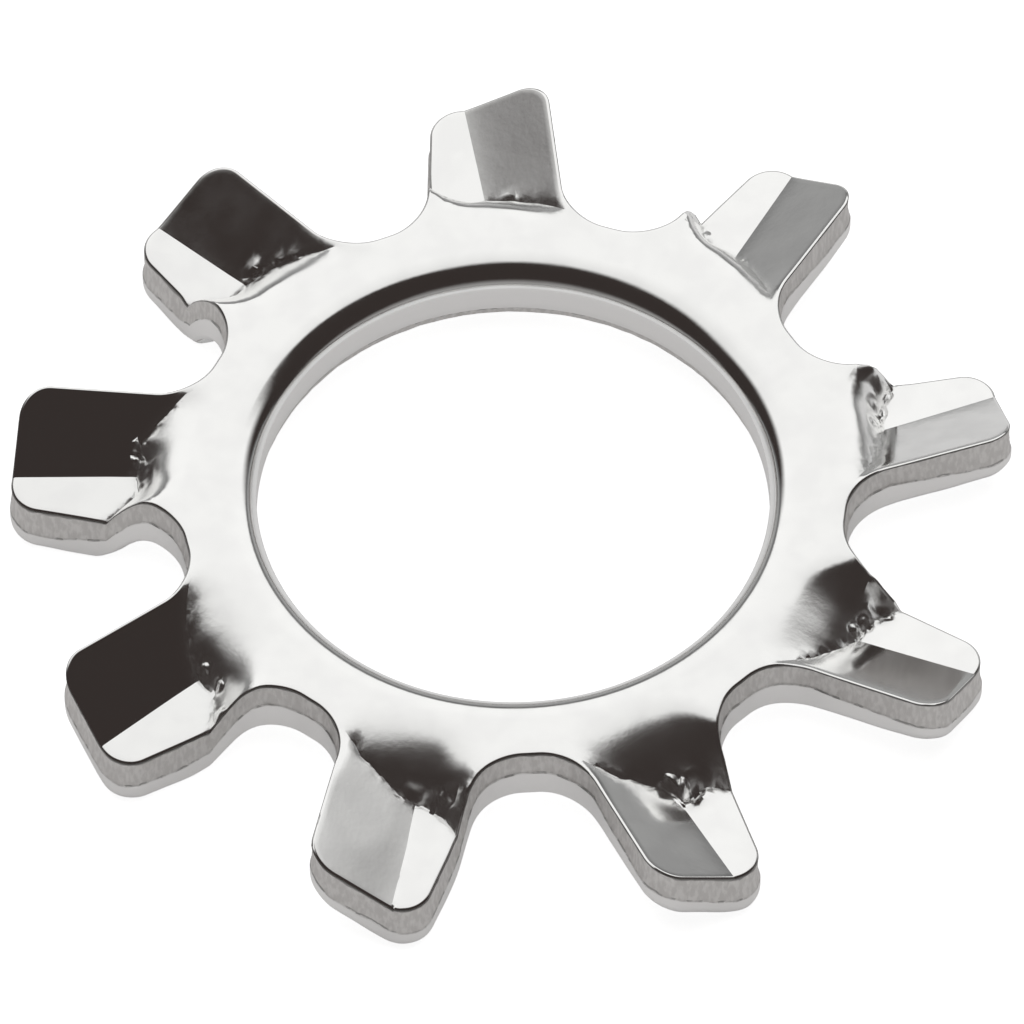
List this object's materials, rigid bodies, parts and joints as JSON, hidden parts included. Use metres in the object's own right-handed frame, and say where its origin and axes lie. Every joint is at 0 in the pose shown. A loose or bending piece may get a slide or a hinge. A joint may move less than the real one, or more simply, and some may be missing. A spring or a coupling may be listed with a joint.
{
  "type": "toothed lock washer",
  "caption": "Flat steel ring with creased, pressed-down teeth round its outside, which bite under a screw head or nut and stop it working loose.",
  "frame": {"origin": "on the bore's axis, halfway through the ring's thickness", "axes": "+Z along the bore's axis, out of the face that the drawn-in bore edge and the creases are on; +Y along the centre line of one tooth"},
  "size_m": [0.01, 0.0098, 0.0012],
  "materials": {
    "plated_steel": "bright zinc plating, smooth and polished"
  },
  "bodies": {
    "root": {"toothed_lock_washer": "plated_steel"}
  },
  "joints": []
}
